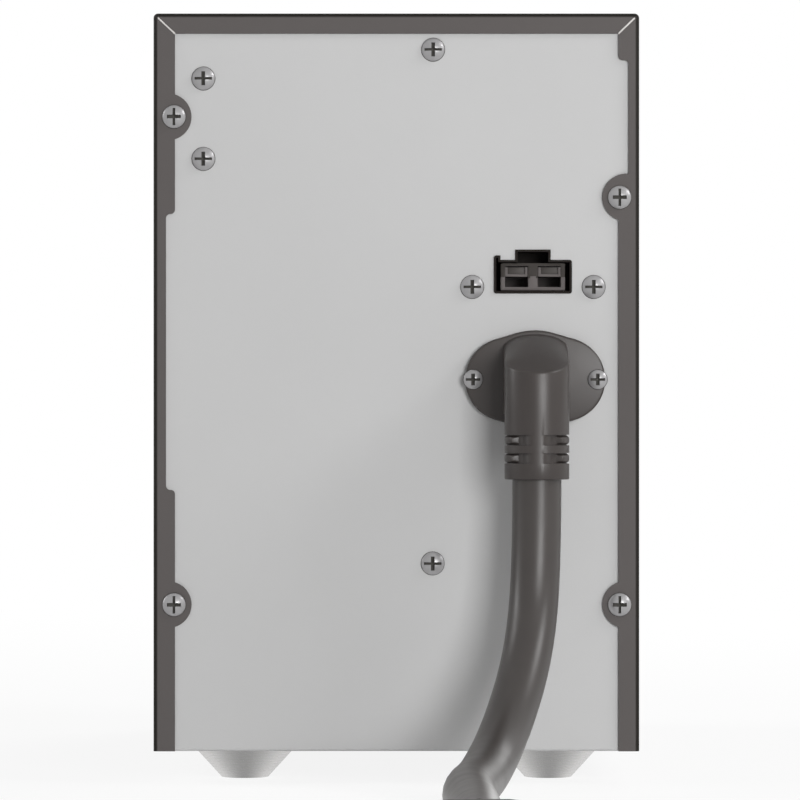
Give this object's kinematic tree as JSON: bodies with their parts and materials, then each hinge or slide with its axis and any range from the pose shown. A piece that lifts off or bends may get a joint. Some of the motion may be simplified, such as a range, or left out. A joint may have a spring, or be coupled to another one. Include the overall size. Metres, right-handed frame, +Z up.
{
  "type": "ups battery module",
  "caption": "Tower battery module: folded steel case on conical feet, rear socket and right-angle cable outlet, vented front bezel.",
  "frame": {"origin": "on the floor, at the centre of the bounding box of the module without its cable, elbow and plug", "axes": "+Z up; -Y out of the rear panel with the socket and the cable, +Y out of the front bezel; +X to the right as the rear panel is seen"},
  "size_m": [0.214, 0.8197, 0.3394],
  "materials": {
    "panel_paint": "light grey powder coat",
    "cover_paint": "dark grey fine powder coat",
    "plate_paint": "dark grey paint",
    "bezel_plastic": "fine moulded texture",
    "foot_metal": "turned, satin",
    "screw_metal": "bright plated",
    "socket_plastic": "moulded",
    "contact_metal": "tin plated",
    "elbow_rubber": "smooth moulded",
    "cable_jacket": "smooth extruded jacket",
    "rack_steel": "zinc plated",
    "insulator": "thin sheet",
    "foam": "closed-cell foam",
    "block_plastic": "moulded case",
    "board": "laminate",
    "fuse_ceramic": "glazed body",
    "lead_red": "insulation",
    "lead_black": "insulation"
  },
  "bodies": {
    "root": {"battery_01": "block_plastic", "battery_02": "block_plastic", "battery_03": "block_plastic", "battery_04": "block_plastic", "battery_05": "block_plastic", "battery_06": "block_plastic", "battery_07": "block_plastic", "battery_08": "block_plastic", "battery_09": "block_plastic", "battery_10": "block_plastic", "battery_11": "block_plastic", "battery_12": "block_plastic", "battery_13": "block_plastic", "battery_14": "block_plastic", "battery_15": "block_plastic", "battery_16": "block_plastic", "battery_stop": "rack_steel", "bezel": "bezel_plastic", "board_screws": "screw_metal", "cable": "cable_jacket", "cable_elbow": "elbow_rubber", "chassis": "panel_paint", "cover": "cover_paint", "cover_screws": "screw_metal", "elbow_screws": "screw_metal", "foot_front_left": "foot_metal", "foot_front_right": "foot_metal", "foot_rear_left": "foot_metal", "foot_rear_right": "foot_metal", "foot_screws": "screw_metal", "front_pads": "foam", "front_plate": "plate_paint", "front_screws": "screw_metal", "fuse_board": "board", "fuse_bracket": "rack_steel", "fuses": "fuse_ceramic", "insulator_floor": "insulator", "insulator_lower": "insulator", "insulator_upper": "insulator", "leads_negative": "lead_black", "leads_positive": "lead_red", "links_lower": "contact_metal", "links_middle": "contact_metal", "links_upper": "contact_metal", "panel_screws": "screw_metal", "plug_contacts": "contact_metal", "plug_housing": "socket_plastic", "rack_side_left": "rack_steel", "rack_side_right": "rack_steel", "shelf_lower": "rack_steel", "shelf_upper": "rack_steel", "side_pads_left": "foam", "side_pads_right": "foam", "socket_contacts": "contact_metal", "socket_housing": "socket_plastic", "socket_screws": "screw_metal", "socket_shroud": "socket_plastic", "tie_strap": "rack_steel", "top_brace": "rack_steel"}
  },
  "joints": []
}
